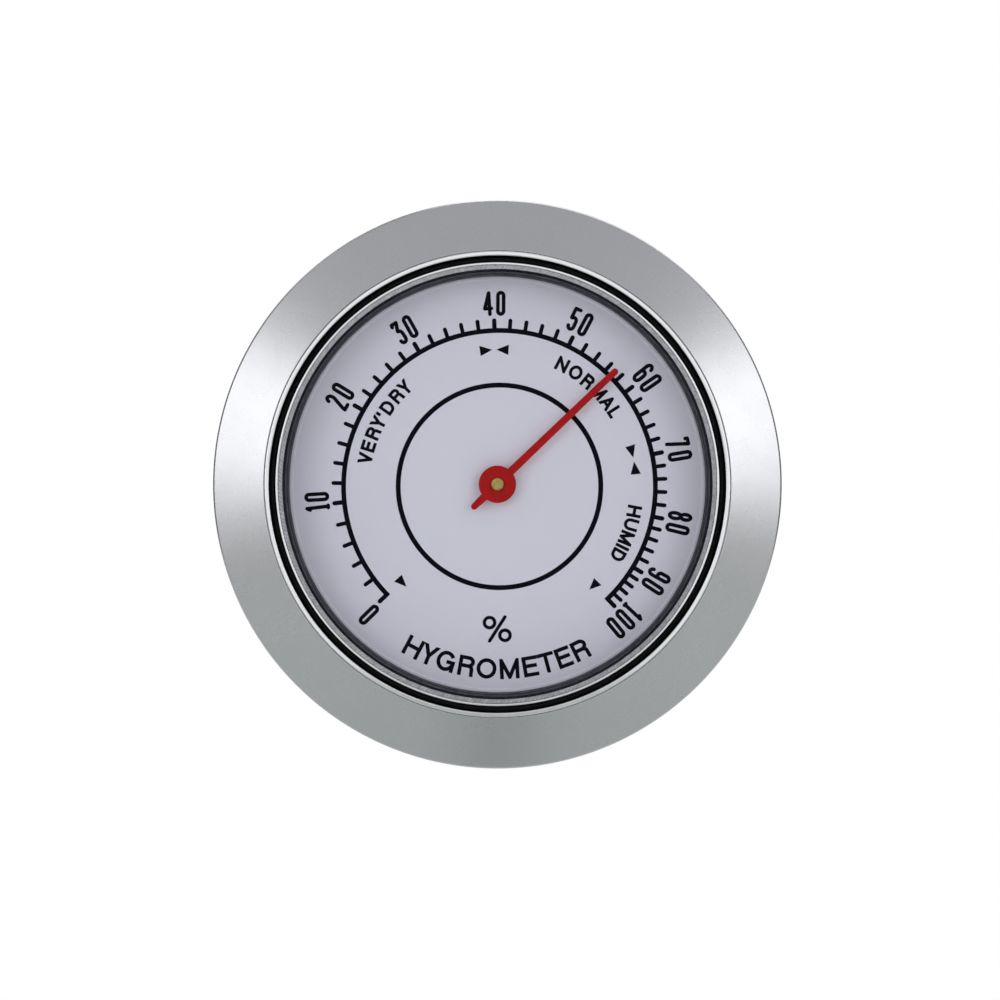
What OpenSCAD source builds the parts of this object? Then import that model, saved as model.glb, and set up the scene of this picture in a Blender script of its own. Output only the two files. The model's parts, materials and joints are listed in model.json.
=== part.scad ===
// Dial hygrometer for a round panel hole: a flanged mounting ring and a push-fit instrument capsule.
// Millimetres. +Z is up and the dial looks along -Y. The origin is on the dial's axis, in the plane of
// the flange's rear face, which rests on the panel.
// Every module is drawn face up: its own +Z runs towards the reader, and facing() stands it upright.

/* [Mounting ring] */
// Outside diameter of the flange
flange_d = 60; // [56:0.5:80]
// Thickness of the flange at its outer edge
flange_edge = 1.2; // [0.9:0.1:2]
// Height of the flange's front where it meets the lip
flange_rise = 2.95; // [2.6:0.05:3.4]
// Depth of the sleeve behind the flange
sleeve_depth = 8.6; // [7:0.1:9.6]
// Diameter of the rubber band, which is the size of the panel hole
grip_d = 52; // [51.4:0.1:53]
// Width of the rubber band
grip_w = 5; // [3:0.5:6]

/* [Capsule] */
// Bore of the sleeve that the capsule slides in
sleeve_bore_d = 48.08; // [48:0.02:48.2]
// Outside diameter of the capsule's bright rim
rim_d = 46.7; // [46.5:0.1:46.9]
// Outside diameter of the can
can_d = 46.3; // [46.2:0.05:46.4]
// Wall of the can
can_wall = 0.4; // [0.3:0.05:0.5]
// Thickness of the lens
lens_t = 1.5; // [1:0.1:1.5]
// Clear diameter of the dial inside its dark surround
dial_view_d = 44.18; // [43:0.02:44.4]
// Number of air slots in the back
vent_count = 12; // [6:1:16]

/* [Scale and pointer] */
// Relative humidity shown at rest, in percent
reading = 57.45; // [0:0.05:100]
// Length of the pointer from its centre to its tip
pointer_len = 17.6; // [12:0.1:20]
// Length of the pointer's tail
tail_len = 3.75; // [2.6:0.05:6]
// Width of the needle
needle_w = 0.7; // [0.4:0.05:1]
// Diameter of the pointer's hub
hub_d = 3.96; // [3.4:0.02:5]

/* [Coil] */
// Number of turns in the moisture-sensitive coil
coil_turns = 5.5; // [3.5:1:6.5]
// Height of the coil's strip
coil_h = 2.2; // [1.6:0.1:2.4]

/* [Hidden] */
$fn = 96;

// Scale: angle of each decade of humidity, from 0 to 100, and where 0 stands, counterclockwise from +X
decade_spans = [38, 35, 30, 29, 28, 27, 25, 23, 20, 15];
scale_start = 223.8;
function span_sum(n) = n == 0 ? 0 : decade_spans[n - 1] + span_sum(n - 1);
function scale_angle(rh) =
    let (n = min(floor(rh / 10), 9))
    scale_start - span_sum(n) - decade_spans[n] * (rh / 10 - n);

// Heights along the dial's axis, from the front to the back
lip_top = flange_rise + 0.2;
rim_top = 2.9;
lens_front = 2;
lens_back = lens_front - lens_t;
gasket_t = 0.2;
can_top = -0.3;
dial_front = -3;
dial_back = dial_front - 0.5;
plate_back = dial_back - 0.8;
bridge_front = -9.7;
bridge_back = bridge_front - 0.6;
screen_front = -11.1;
screen_back = screen_front - 0.3;
can_back = screen_back - 0.5;
sleeve_back = -sleeve_depth;
sleeve_stop = sleeve_back + 0.6;

// Radii
flange_r = flange_d / 2;
bore_r = sleeve_bore_d / 2;
lip_r = bore_r + 0.46;
cone_r = lip_r + 0.08;
sleeve_r = grip_d / 2 - 0.5;
band_seat_r = sleeve_r - 0.3;
relief_r = grip_d / 2 + 0.15;
relief_depth = 0.3;
stop_r = bore_r - 0.6;
rim_r = rim_d / 2;
rim_inner_r = rim_r - 0.25;
can_r = can_d / 2;
can_inner_r = can_r - can_wall;
stack_r = can_inner_r - 0.05;
lens_r = can_r - 0.25;
dial_view_r = dial_view_d / 2;
ribbed_inner_r = 22.67;
seal_r = bore_r - 0.04;

// Movement
arbor_r = 0.68;
pivot_r = 0.5;
running = 0.05;
collet_r = 1.5;
bearing_r = 1.6;
pillar_x = 12.5;
pillar_r = 1.5;
rivet_r = 0.9;
screw_r = 0.7;
screw_head_r = 1.4;
adjuster_r = 2.15;
adjuster_head_r = 3.2;
adjuster_hole_r = 3.7;
neck_r = 1.6;
rear_bearing_r = 1;
arm_front = -9;
arm_back = -9.35;
clip_back = bridge_front + running;
stud_r = 0.65;
stud_reach = 8.9;
stud_angle = 215;
coil_back = -8.4;
coil_front = coil_back + coil_h;
coil_start_r = collet_r + 0.3;
coil_end_r = arbor_r + 0.3;
metal_t = 0.14;
paper_t = 0.12;
strip_gap = 0.12;
pointer_back = dial_front + 1.05;
pointer_t = 0.22;
arbor_tip = pointer_back + pointer_t + 0.4;
arbor_end = -10;
turn_steps = 36;

// Stands a piece that is drawn face up on its edge, so that its face looks along -Y
module facing() {
    rotate([90, 0, 0]) children();
}

// Ring or disc between two radii and two heights; an inner radius of 0 gives a disc
module ring(inner_r, outer_r, low, high) {
    rotate_extrude()
        polygon([[inner_r, low], [outer_r, low], [outer_r, high], [inner_r, high]]);
}

// Points of a round corner: an arc about [x, y] from one angle to another
function corner(x, y, r, from, to, steps = 6) =
    [for (i = [0 : steps]) let (a = from + (to - from) * i / steps) [x + r * cos(a), y + r * sin(a)]];

// --- Mounting ring -------------------------------------------------------------------------------

// Satin flange with a polished lip round its bore, and the sleeve that goes into the panel. A shallow
// relief in the flange's rear face leaves room for the end of the band.
module mounting_bezel() {
    edge_r = 0.28;
    foot_r = 0.2;
    lip_half = (lip_r - bore_r) / 2;
    color("silver") facing() rotate_extrude()
        polygon(concat(
            [[stop_r, sleeve_back], [sleeve_r - 0.3, sleeve_back], [sleeve_r, sleeve_back + 0.3]],
            [[sleeve_r, -grip_w], [band_seat_r, -grip_w], [band_seat_r, relief_depth]],
            [[relief_r, relief_depth], [relief_r, 0]],
            corner(flange_r - foot_r, foot_r, foot_r, -90, 0),
            corner(flange_r - edge_r, flange_edge - edge_r, edge_r, 0, 72),
            [[cone_r, flange_rise], [cone_r, flange_rise - 0.08], [lip_r, flange_rise - 0.08]],
            corner(bore_r + lip_half, lip_top - lip_half, lip_half, 0, 180, 10),
            [[bore_r, sleeve_stop], [stop_r, sleeve_stop]]
        ));
}

// Rubber band behind the flange, squeezed by the wall of the panel's hole
module grip_band() {
    color([0.08, 0.08, 0.085]) facing() ring(band_seat_r, grip_d / 2, -grip_w, 0);
}

// --- Capsule -------------------------------------------------------------------------------------

// Bright rim pressed over the can: it holds the lens and ends in a thin rounded edge
module capsule_rim() {
    edge_r = (rim_r - rim_inner_r) / 2;
    skirt_back = can_top - 2;
    color("gainsboro") facing() rotate_extrude()
        polygon(concat(
            [[can_r, skirt_back], [rim_r, skirt_back]],
            corner(rim_r - edge_r, rim_top - edge_r, edge_r, 0, 180),
            [[rim_inner_r, lens_front], [lens_r + running, lens_front]],
            [[lens_r + running, can_top], [can_r, can_top]]
        ));
}

// Ribbed snap ring that keeps the lens in the rim
module ribbed_ring() {
    color([0.62, 0.62, 0.63]) facing() rotate_extrude()
        polygon([
            [ribbed_inner_r, lens_front], [rim_inner_r, lens_front],
            [rim_inner_r, lens_front + 0.6], [ribbed_inner_r, lens_front + 0.25],
        ]);
}

// Flat window with bevelled edges
module lens() {
    bevel = 0.15;
    color([0.9, 0.95, 1, 0.35]) facing() rotate_extrude()
        polygon([
            [0, lens_back], [lens_r - bevel, lens_back], [lens_r, lens_back + bevel],
            [lens_r, lens_front - bevel], [lens_r - bevel, lens_front], [0, lens_front],
        ]);
}

// Soft ring under the edge of the lens
module lens_gasket() {
    color([0.05, 0.05, 0.05]) facing() ring(lens_r - 0.4, lens_r, lens_back - gasket_t, lens_back);
}

// Dark conical surround that keeps the lens clear of the pointer
module dial_spacer() {
    top = lens_back - gasket_t;
    color([0.12, 0.12, 0.13]) facing() rotate_extrude()
        polygon([
            [dial_view_r, dial_front], [stack_r, dial_front], [stack_r, can_top], [lens_r, can_top],
            [lens_r, top], [lens_r - 0.35, top], [lens_r - 0.45, top - 0.1],
        ]);
}

// Dial, with a hole for the front bearing
module dial_plate() {
    color([0.86, 0.85, 0.9]) facing() ring(bearing_r, stack_r, dial_back, dial_front);
}

// Can with a slotted back and a hole over the calibration button
module case_can() {
    slot_from = 8;
    slot_to = 18.5;
    slot_w = 1.8;
    color([0.16, 0.16, 0.17]) facing() difference() {
        union() {
            ring(can_inner_r, can_r, screen_back, can_top);
            ring(adjuster_hole_r, can_r, can_back, screen_back);
        }
        for (i = [0 : vent_count - 1]) rotate(i * 360 / vent_count) {
            translate([slot_from, -slot_w / 2, can_back - 1]) cube([slot_to - slot_from, slot_w, 2]);
            translate([slot_from, 0, can_back - 1]) cylinder(d = slot_w, h = 2);
            translate([slot_to, 0, can_back - 1]) cylinder(d = slot_w, h = 2);
        }
    }
}

// Black seal that fills the gap between the rim and the bezel's lip
module front_o_ring() {
    section_r = (seal_r - rim_r) / 2;
    seal_front = 1.5;
    color([0.03, 0.03, 0.03]) facing() rotate_extrude()
        polygon(concat(
            [[rim_r, 0], [seal_r, 0]],
            corner(rim_r + section_r, seal_front - section_r, section_r, 0, 180, 8)
        ));
}

// Round seal that rests on the sleeve's stop
module rear_o_ring() {
    section_r = (seal_r - can_r) / 2;
    color([0.03, 0.03, 0.03]) facing()
        rotate_extrude()
            translate([can_r + section_r, sleeve_stop + section_r + running]) circle(r = section_r, $fn = 32);
}

// Dust felt inside the slotted back
module vent_screen() {
    color([0.3, 0.3, 0.3]) facing() ring(adjuster_hole_r, stack_r, screen_back, screen_front);
}

// Ring that holds the movement plate against the dial
module back_spacer() {
    color([0.1, 0.1, 0.1]) facing() ring(stack_r - 0.8, stack_r, screen_front, plate_back);
}

// Plate behind the dial, with two windows that let the air through to the coil
module movement_plate() {
    window_inner = 5;
    window_outer = 17;
    rib_w = 7;
    thick = dial_back - plate_back;
    color([0.75, 0.75, 0.77]) facing() difference() {
        ring(bearing_r, stack_r, plate_back, dial_back);
        translate([0, 0, plate_back - 1]) difference() {
            cylinder(r = window_outer, h = thick + 2);
            cylinder(r = window_inner, h = thick + 2);
            translate([-window_outer, -rib_w / 2, 0]) cube([2 * window_outer, rib_w, thick + 2]);
        }
        for (side = [-1, 1]) translate([side * pillar_x, 0, plate_back - 1])
            cylinder(r = rivet_r, h = thick + 2);
    }
}

// Two turned pillars, riveted into the plate and tapped at the back
module pillars() {
    tap_depth = 3;
    color("goldenrod") facing() for (side = [-1, 1]) translate([side * pillar_x, 0, 0]) difference() {
        union() {
            ring(0, pillar_r, bridge_front, plate_back);
            ring(0, rivet_r, plate_back, dial_back);
        }
        translate([0, 0, bridge_front - 1]) cylinder(r = screw_r, h = tap_depth + 1);
    }
}

// Bridge across the pillars, which carries the calibration button
module movement_bridge() {
    bar_w = 7;
    thick = bridge_front - bridge_back;
    color("goldenrod") facing() difference() {
        union() {
            translate([-pillar_x, -bar_w / 4, bridge_back]) cube([2 * pillar_x, bar_w / 2, thick]);
            ring(0, bar_w * 0.75, bridge_back, bridge_front);
            for (side = [-1, 1]) translate([side * pillar_x, 0, 0])
                ring(0, bar_w * 0.35, bridge_back, bridge_front);
        }
        translate([0, 0, bridge_back - 1]) cylinder(r = adjuster_r + running, h = thick + 2);
        for (side = [-1, 1]) translate([side * pillar_x, 0, bridge_back - 1])
            cylinder(r = screw_r, h = thick + 2);
    }
}

// Two slotted cheese-head screws that hold the bridge on its pillars
module bridge_screws() {
    head_back = bridge_back - 0.6;
    shank_front = bridge_front + 2.6;
    slot_w = 0.35;
    color("lightgray") facing() for (side = [-1, 1]) translate([side * pillar_x, 0, 0]) difference() {
        union() {
            ring(0, screw_head_r, head_back, bridge_back);
            ring(0, screw_r, bridge_back, shank_front);
        }
        rotate(30) translate([-2, -slot_w / 2, head_back - 1]) cube([4, slot_w, 1.25]);
    }
}

// Brass bush in the movement plate, flush with the front of the dial
module front_bearing() {
    flange_t = 0.3;
    color("goldenrod") facing() rotate_extrude()
        polygon([
            [arbor_r + running, plate_back - flange_t], [bearing_r + 0.6, plate_back - flange_t],
            [bearing_r + 0.6, plate_back], [bearing_r, plate_back],
            [bearing_r, dial_front - 0.1], [arbor_r + running, dial_front - 0.1],
        ]);
}

// --- Calibrator ----------------------------------------------------------------------------------

// Slotted button that turns in the bridge; a screwdriver reaches it through the back
module adjuster_screw() {
    head_front = bridge_back - running;
    head_back = can_back + 0.2;
    slot_w = 0.8;
    slot_depth = 0.7;
    seat_depth = 1.3;
    color("goldenrod") facing() difference() {
        union() {
            ring(0, adjuster_head_r, head_back, head_front);
            ring(0, adjuster_r, head_front, arm_back);
            ring(0, neck_r, arm_back, arm_front);
        }
        translate([-5, -slot_w / 2, head_back - 1]) cube([10, slot_w, slot_depth + 1]);
        translate([0, 0, arm_front - seat_depth]) cylinder(r = rear_bearing_r, h = seat_depth + 1);
    }
}

// Spring washer pressed on the button, which gives it its friction against the bridge
module adjuster_clip() {
    color([0.7, 0.7, 0.72]) facing() ring(adjuster_r, adjuster_r + 1.3, clip_back, arm_back);
}

// Arm that turns with the button and carries the coil's outer end
module coil_arm() {
    arm_w = 1.8;
    thick = arm_front - arm_back;
    color("goldenrod") facing() rotate(stud_angle) difference() {
        union() {
            ring(0, neck_r + 1.2, arm_back, arm_front);
            translate([0, -arm_w / 2, arm_back]) cube([stud_reach, arm_w, thick]);
            translate([stud_reach, 0, 0]) ring(0, arm_w / 2, arm_back, arm_front);
        }
        translate([0, 0, arm_back - 1]) cylinder(r = neck_r, h = thick + 2);
    }
}

// Split post on the arm: the end of the strip lies in its slot
module coil_stud() {
    stud_front = coil_front + 0.5;
    slot_w = metal_t + paper_t + 2 * strip_gap;
    color("goldenrod") facing() rotate(stud_angle) translate([stud_reach, 0, 0]) difference() {
        ring(0, stud_r, arm_front, stud_front);
        translate([-slot_w / 2, -2, coil_back - 0.1]) cube([slot_w, 4, coil_h + 2]);
    }
}

// Cap pressed over the slot of the post, which locks the strip in it
module stud_cap() {
    cap_back = coil_front + 0.5;
    color([0.7, 0.7, 0.72]) facing() rotate(stud_angle) translate([stud_reach, 0, 0])
        ring(0, stud_r + 0.2, cap_back, cap_back + 0.3);
}

// Bush for the arbor's rear pivot, pressed into the button
module rear_bearing() {
    color("orangered") facing() ring(pivot_r + running, rear_bearing_r, arm_front - 1, arm_front);
}

// Radius of the coil's middle line after so many turns, counted from the collet
function coil_r(turn) = coil_start_r + (stud_reach - coil_start_r) * turn / coil_turns;

// Angle of the strip after so many turns: it ends just past the post
function coil_angle(turn) = stud_angle + 360 * (turn - coil_turns);

// One side of the strip, at a distance outside the coil's middle line: first the end that is bent
// inwards into the collet's slot, then the spiral
function coil_side(out) =
    let (a = coil_angle(0), along = [cos(a), sin(a)], across = [sin(a), -cos(a)])
    concat(
        [coil_end_r * along + out * across, (coil_start_r + out) * along + out * across],
        [
            for (i = [1 : coil_turns * turn_steps + 1])
                let (turn = i / turn_steps, b = coil_angle(turn))
                (coil_r(turn) + out) * [cos(b), sin(b)]
        ]
    );

// Layer of the strip between two distances from the middle line
module coil_layer(inner, outer) {
    outside = coil_side(outer);
    inside = coil_side(inner);
    count = len(inside);
    facing() translate([0, 0, coil_back]) linear_extrude(coil_h)
        polygon(concat(outside, [for (i = [0 : count - 1]) inside[count - 1 - i]]));
}

// Metal strip of the coil
module coil_metal() {
    color([0.8, 0.75, 0.6]) coil_layer(-metal_t, 0);
}

// Moisture-sensitive layer on the outside of the strip
module coil_paper() {
    color([0.93, 0.9, 0.8]) coil_layer(0, paper_t);
}

// --- Pointer -------------------------------------------------------------------------------------

// Bush on the arbor, sawn through on one side to take the coil's inner end
module coil_collet() {
    slot_from = coil_end_r - running;
    slot_w = metal_t + paper_t + 2 * running;
    color("goldenrod") facing() difference() {
        ring(arbor_r, collet_r, coil_back - 0.4, coil_front + 0.2);
        rotate(coil_angle(0)) translate([slot_from, -paper_t - running, coil_back - running])
            cube([collet_r, slot_w, coil_h + 1]);
    }
}

// Brass arbor: rear pivot, thrust collar and the long front end that shows in the pointer's hub
module arbor() {
    collar_front = plate_back - 0.4;
    collar_back = collar_front - 0.4;
    shoulder = arm_front + 0.15;
    point = 0.12;
    color("goldenrod") facing() rotate_extrude()
        polygon([
            [0, arbor_end], [pivot_r, arbor_end], [pivot_r, shoulder], [arbor_r, shoulder],
            [arbor_r, collar_back], [arbor_r + 0.5, collar_back], [arbor_r + 0.5, collar_front],
            [arbor_r, collar_front], [arbor_r, arbor_tip - point], [arbor_r - point, arbor_tip],
            [0, arbor_tip],
        ]);
}

// Needle, hub and tail in one stamping
module pointer() {
    color([0.8, 0.05, 0.06]) facing() rotate(scale_angle(reading)) translate([0, 0, pointer_back])
        linear_extrude(pointer_t) difference() {
            union() {
                circle(d = hub_d);
                translate([-tail_len + needle_w / 2, -needle_w / 2])
                    square([pointer_len + tail_len - needle_w, needle_w]);
                translate([pointer_len - needle_w / 2, 0]) circle(d = needle_w, $fn = 24);
                translate([-tail_len + needle_w / 2, 0]) circle(d = needle_w, $fn = 24);
            }
            circle(r = arbor_r);
        }
}

mounting_bezel();
grip_band();
capsule_rim();
ribbed_ring();
lens();
lens_gasket();
dial_spacer();
dial_plate();
case_can();
front_o_ring();
rear_o_ring();
vent_screen();
back_spacer();
movement_plate();
pillars();
movement_bridge();
bridge_screws();
front_bearing();
adjuster_screw();
adjuster_clip();
coil_arm();
coil_stud();
stud_cap();
rear_bearing();
coil_metal();
coil_paper();
coil_collet();
arbor();
pointer();
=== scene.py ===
import json
import math

import bmesh
import bpy
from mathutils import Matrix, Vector, noise
from mathutils.geometry import delaunay_2d_cdt

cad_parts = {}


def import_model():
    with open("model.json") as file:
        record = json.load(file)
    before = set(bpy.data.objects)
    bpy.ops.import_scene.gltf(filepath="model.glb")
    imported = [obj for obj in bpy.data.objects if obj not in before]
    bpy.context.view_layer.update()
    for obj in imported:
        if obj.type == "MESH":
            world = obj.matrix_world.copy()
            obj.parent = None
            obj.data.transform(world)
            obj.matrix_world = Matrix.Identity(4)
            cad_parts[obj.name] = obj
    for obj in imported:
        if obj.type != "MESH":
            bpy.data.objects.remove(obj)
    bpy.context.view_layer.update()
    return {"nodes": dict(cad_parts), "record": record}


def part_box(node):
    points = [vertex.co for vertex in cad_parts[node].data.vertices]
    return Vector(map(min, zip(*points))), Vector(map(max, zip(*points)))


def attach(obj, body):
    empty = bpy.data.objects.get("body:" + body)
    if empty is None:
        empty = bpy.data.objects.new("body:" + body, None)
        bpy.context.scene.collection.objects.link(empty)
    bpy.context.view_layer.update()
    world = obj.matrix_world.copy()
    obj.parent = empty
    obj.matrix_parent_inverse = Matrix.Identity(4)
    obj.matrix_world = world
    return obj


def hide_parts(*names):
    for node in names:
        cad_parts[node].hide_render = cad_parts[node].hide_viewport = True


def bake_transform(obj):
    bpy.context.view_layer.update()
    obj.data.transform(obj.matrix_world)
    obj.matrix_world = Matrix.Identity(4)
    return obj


# Dial hygrometer: the looks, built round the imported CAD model. Lengths are in millimetres in the dial's
# own plane (x to the reader's right, y up, height towards the reader) until place() turns them into
# metres in the row's frame, where the dial looks along -Y. Angles are counterclockwise from +x.

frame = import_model()

MM = 0.001
SLOT_OF = {part["node"]: part["material_slot"] for part in frame["record"]["subparts"]}
BODY_OF = {node: body for body, nodes in frame["record"]["behaviour"]["bodies"].items() for node in nodes}
FINE = 384  # steps round the large rings
ROUND = 128  # steps round the small turned parts


def place(x, y, height):
    """A point of the dial's plane, in mm, as a point of the row's frame, in metres."""
    return Vector((x, -height, y)) * MM


def polar(radius, angle, height=0.0):
    """The same for a point given by its radius and its angle in degrees."""
    a = math.radians(angle)
    return place(radius * math.cos(a), radius * math.sin(a), height)


def reach(node):
    """Outer radius, back and front of a round CAD node, in mm."""
    low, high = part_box(node)
    return high.x / MM, -high.y / MM, -low.y / MM


def arc(x, y, rx, ry, start, end, steps=8):
    """Points on an ellipse's arc about (x, y), from one angle to another in degrees."""
    turns = [math.radians(start + (end - start) * i / steps) for i in range(steps + 1)]
    return [(x + rx * math.cos(a), y + ry * math.sin(a)) for a in turns]


def corner(x, y, r, start, end, steps=8):
    """Points of a round corner of radius r about (x, y)."""
    return arc(x, y, r, r, start, end, steps)


def rotated(point, angle):
    """The point turned about the axis by an angle in degrees."""
    a = math.radians(angle)
    x, y = point
    return (x * math.cos(a) - y * math.sin(a), x * math.sin(a) + y * math.cos(a))


# ---------------------------------------------------------------------------------- materials


class Finish:
    """A Principled material, with short names for the procedural nodes that feed it. Sizes are in mm."""

    def __init__(self, slot, colour, roughness, metallic=0.0, **sockets):
        self.material = bpy.data.materials.new(slot)
        self.material.use_nodes = True
        self.tree = self.material.node_tree
        self.shader = self.tree.nodes["Principled BSDF"]
        self.colour = colour
        self.set(Base_Color=(*colour, 1), Roughness=roughness, Metallic=metallic, **sockets)
        self.coords = self.node("ShaderNodeTexCoord").outputs["Object"]

    def set(self, **sockets):
        for name, value in sockets.items():
            self.shader.inputs[name.replace("_", " ")].default_value = value

    def node(self, kind, inputs=(), **settings):
        made = self.tree.nodes.new(kind)
        for name, value in settings.items():
            setattr(made, name, value)
        for name, value in dict(inputs).items():
            if isinstance(value, bpy.types.NodeSocket):
                self.tree.links.new(value, made.inputs[name])
            else:
                made.inputs[name].default_value = value
        return made

    def feed(self, name, source):
        self.tree.links.new(source, self.shader.inputs[name])

    def stretched(self, scale):
        """Coordinates squeezed by a factor along each axis of the row's frame."""
        return self.node("ShaderNodeMapping", {"Vector": self.coords, "Scale": scale}).outputs["Vector"]

    def noise(self, size, detail=3.0, coords=None):
        """Cloudy noise with features of about this size."""
        inputs = {"Vector": coords or self.coords, "Scale": 1 / (size * MM), "Detail": detail}
        return self.node("ShaderNodeTexNoise", inputs).outputs["Fac"]

    def cells(self, size):
        """Distance to the nearest of scattered points about this far apart."""
        inputs = {"Vector": self.coords, "Scale": 1 / (size * MM)}
        return self.node("ShaderNodeTexVoronoi", inputs).outputs["Distance"]

    def radius(self):
        """Distance from the dial's axis, in metres."""
        flat = self.stretched((1, 0, 1))
        return self.node("ShaderNodeVectorMath", {0: flat}, operation="LENGTH").outputs["Value"]

    def rings(self, pitch):
        """0 to 1 and back with each ring of this pitch about the axis, as a lathe leaves them."""
        turns = {0: self.radius(), 1: 2 * math.pi / (pitch * MM)}
        wave = self.node("ShaderNodeMath", turns, operation="MULTIPLY").outputs[0]
        wave = self.node("ShaderNodeMath", {0: wave}, operation="SINE").outputs[0]
        return self.ramp(wave, -1, 1, 0, 1)

    def ramp(self, source, low, high, out_low, out_high):
        """Maps low..high of a value to out_low..out_high."""
        inputs = {0: source, 1: low, 2: high, 3: out_low, 4: out_high}
        return self.node("ShaderNodeMapRange", inputs).outputs[0]

    def add(self, a, b):
        return self.node("ShaderNodeMath", {0: a, 1: b}, operation="ADD").outputs[0]

    def times(self, a, b):
        return self.node("ShaderNodeMath", {0: a, 1: b}, operation="MULTIPLY").outputs[0]

    def blend(self, amount, first, second):
        """Colour between two, by a value; each is a colour or a socket."""
        mix = self.node("ShaderNodeMix", data_type="RGBA")
        for index, value in ((0, amount), (6, first), (7, second)):
            if isinstance(value, bpy.types.NodeSocket):
                self.tree.links.new(value, mix.inputs[index])
            else:
                mix.inputs[index].default_value = (*value, 1)
        return mix.outputs[2]

    def shade(self, source, low, high, dark, light=1.0):
        """Feeds the colour, from dark to light times its own, as source goes from low to high."""
        first = tuple(c * dark for c in self.colour)
        second = tuple(min(1, c * light) for c in self.colour)
        mixed = self.blend(self.ramp(source, low, high, 0, 1), first, second)
        self.feed("Base Color", mixed)
        return mixed

    def rough(self, source, low, high, smooth, matt):
        self.feed("Roughness", self.ramp(source, low, high, smooth, matt))

    def bump(self, source, height, normal=None):
        """A relief that stands this high, in mm, where source is 1."""
        inputs = {"Height": source, "Distance": height * MM, "Strength": 1.0}
        if normal is not None:
            inputs["Normal"] = normal
        return self.node("ShaderNodeBump", inputs).outputs["Normal"]


def satin_chrome():
    f = Finish("satin_chrome", (0.5, 0.503, 0.515), 0.27, 1.0)
    cloud = f.noise(6, 3)
    f.shade(cloud, 0.35, 0.65, 0.985)
    f.rough(f.noise(2.4, 4), 0.3, 0.7, 0.265, 0.28)
    grain = f.bump(f.noise(0.05, 2), 0.0006)
    f.feed("Normal", f.bump(cloud, 0.0006, grain))
    return f.material


def bright_chrome():
    f = Finish("bright_chrome", (0.72, 0.724, 0.735), 0.1, 1.0)
    smear = f.noise(1.6, 4)
    f.shade(smear, 0.3, 0.7, 0.97)
    f.rough(smear, 0.3, 0.7, 0.07, 0.13)
    f.feed("Normal", f.bump(f.noise(0.3, 2), 0.0006))
    return f.material


def ribbed_steel():
    f = Finish("ribbed_steel", (0.67, 0.67, 0.7), 0.3, 1.0)
    grime = f.noise(0.5, 4)
    f.shade(grime, 0.35, 0.7, 0.72)
    f.rough(grime, 0.3, 0.7, 0.28, 0.45)
    f.feed("Normal", f.bump(f.noise(0.06, 2), 0.002))
    return f.material


def black_rubber():
    f = Finish("black_rubber", (0.004, 0.004, 0.0052), 0.55, Specular_IOR_Level=0.12)
    dust = f.ramp(f.cells(0.9), 0.02, 0.06, 1, 0)
    patch = f.ramp(f.noise(5, 3), 0.56, 0.7, 0, 1)
    grey = f.blend(f.ramp(f.noise(0.7, 4), 0.35, 0.7, 0, 1), f.colour, (0.010, 0.010, 0.011))
    f.feed("Base Color", f.blend(f.times(dust, patch), grey, (0.16, 0.16, 0.16)))
    f.rough(f.noise(0.8, 3), 0.3, 0.7, 0.42, 0.6)
    f.feed("Normal", f.bump(f.noise(0.1, 3), 0.004))
    return f.material


def dark_surround():
    f = Finish("dark_surround", (0.019, 0.02, 0.026), 0.5, Specular_IOR_Level=0.12)
    cloud = f.noise(1.5, 4)
    f.shade(cloud, 0.3, 0.7, 0.8, 1.15)
    f.rough(cloud, 0.3, 0.7, 0.36, 0.5)
    f.feed("Normal", f.bump(f.noise(0.08, 2), 0.0015))
    return f.material


def black_enamel():
    f = Finish("black_enamel", (0.018, 0.018, 0.019), 0.34, Coat_Weight=0.15, Coat_Roughness=0.2)
    peel = f.noise(0.45, 2)
    paint = f.blend(f.ramp(f.noise(4, 4), 0.35, 0.65, 0, 1), f.colour, (0.026, 0.026, 0.028))
    dust = f.times(f.ramp(f.cells(0.8), 0.02, 0.07, 1, 0), f.ramp(f.noise(4, 3), 0.5, 0.65, 0, 0.6))
    f.feed("Base Color", f.blend(dust, paint, (0.13, 0.13, 0.125)))
    f.rough(f.noise(2, 4), 0.3, 0.7, 0.28, 0.42)
    f.feed("Normal", f.bump(peel, 0.006))
    return f.material


def dial_enamel():
    f = Finish("dial_enamel", (0.875, 0.859, 0.93), 0.55, Specular_IOR_Level=0.15)
    fleck = f.ramp(f.noise(0.14, 3), 0.3, 0.7, 0, 1)
    cloud = f.ramp(f.noise(7, 3), 0.3, 0.7, 0, 1)
    fine = f.blend(fleck, tuple(c * 0.975 for c in f.colour), f.colour)
    speck = f.ramp(f.cells(1.6), 0.012, 0.03, 1, 0)
    tinted = f.blend(cloud, (0.855, 0.843, 0.91), f.colour)
    even = f.node("ShaderNodeMix", {0: 0.5, 6: fine, 7: tinted}, data_type="RGBA").outputs[2]
    f.feed("Base Color", f.blend(f.times(speck, 0.5), even, (0.4, 0.39, 0.42)))
    f.rough(f.noise(1.2, 4), 0.3, 0.7, 0.44, 0.56)
    f.feed("Normal", f.bump(f.noise(0.2, 3), 0.0012))
    return f.material


def dial_ink():
    f = Finish("dial_ink", (0.0022, 0.0022, 0.006), 0.5, Specular_IOR_Level=0.04)
    f.shade(f.noise(0.25, 4), 0.3, 0.75, 0.7, 1.9)
    f.rough(f.noise(0.4, 3), 0.3, 0.7, 0.45, 0.6)
    f.feed("Normal", f.bump(f.noise(0.05, 2), 0.001))
    return f.material


def pointer_red():
    f = Finish("pointer_red", (0.505, 0.0035, 0.0035), 0.36, Specular_IOR_Level=0.16)
    f.shade(f.noise(0.9, 4), 0.3, 0.7, 0.82, 1.12)
    f.rough(f.noise(0.6, 3), 0.3, 0.7, 0.26, 0.42)
    f.feed("Normal", f.bump(f.noise(0.22, 2), 0.003))
    return f.material


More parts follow.
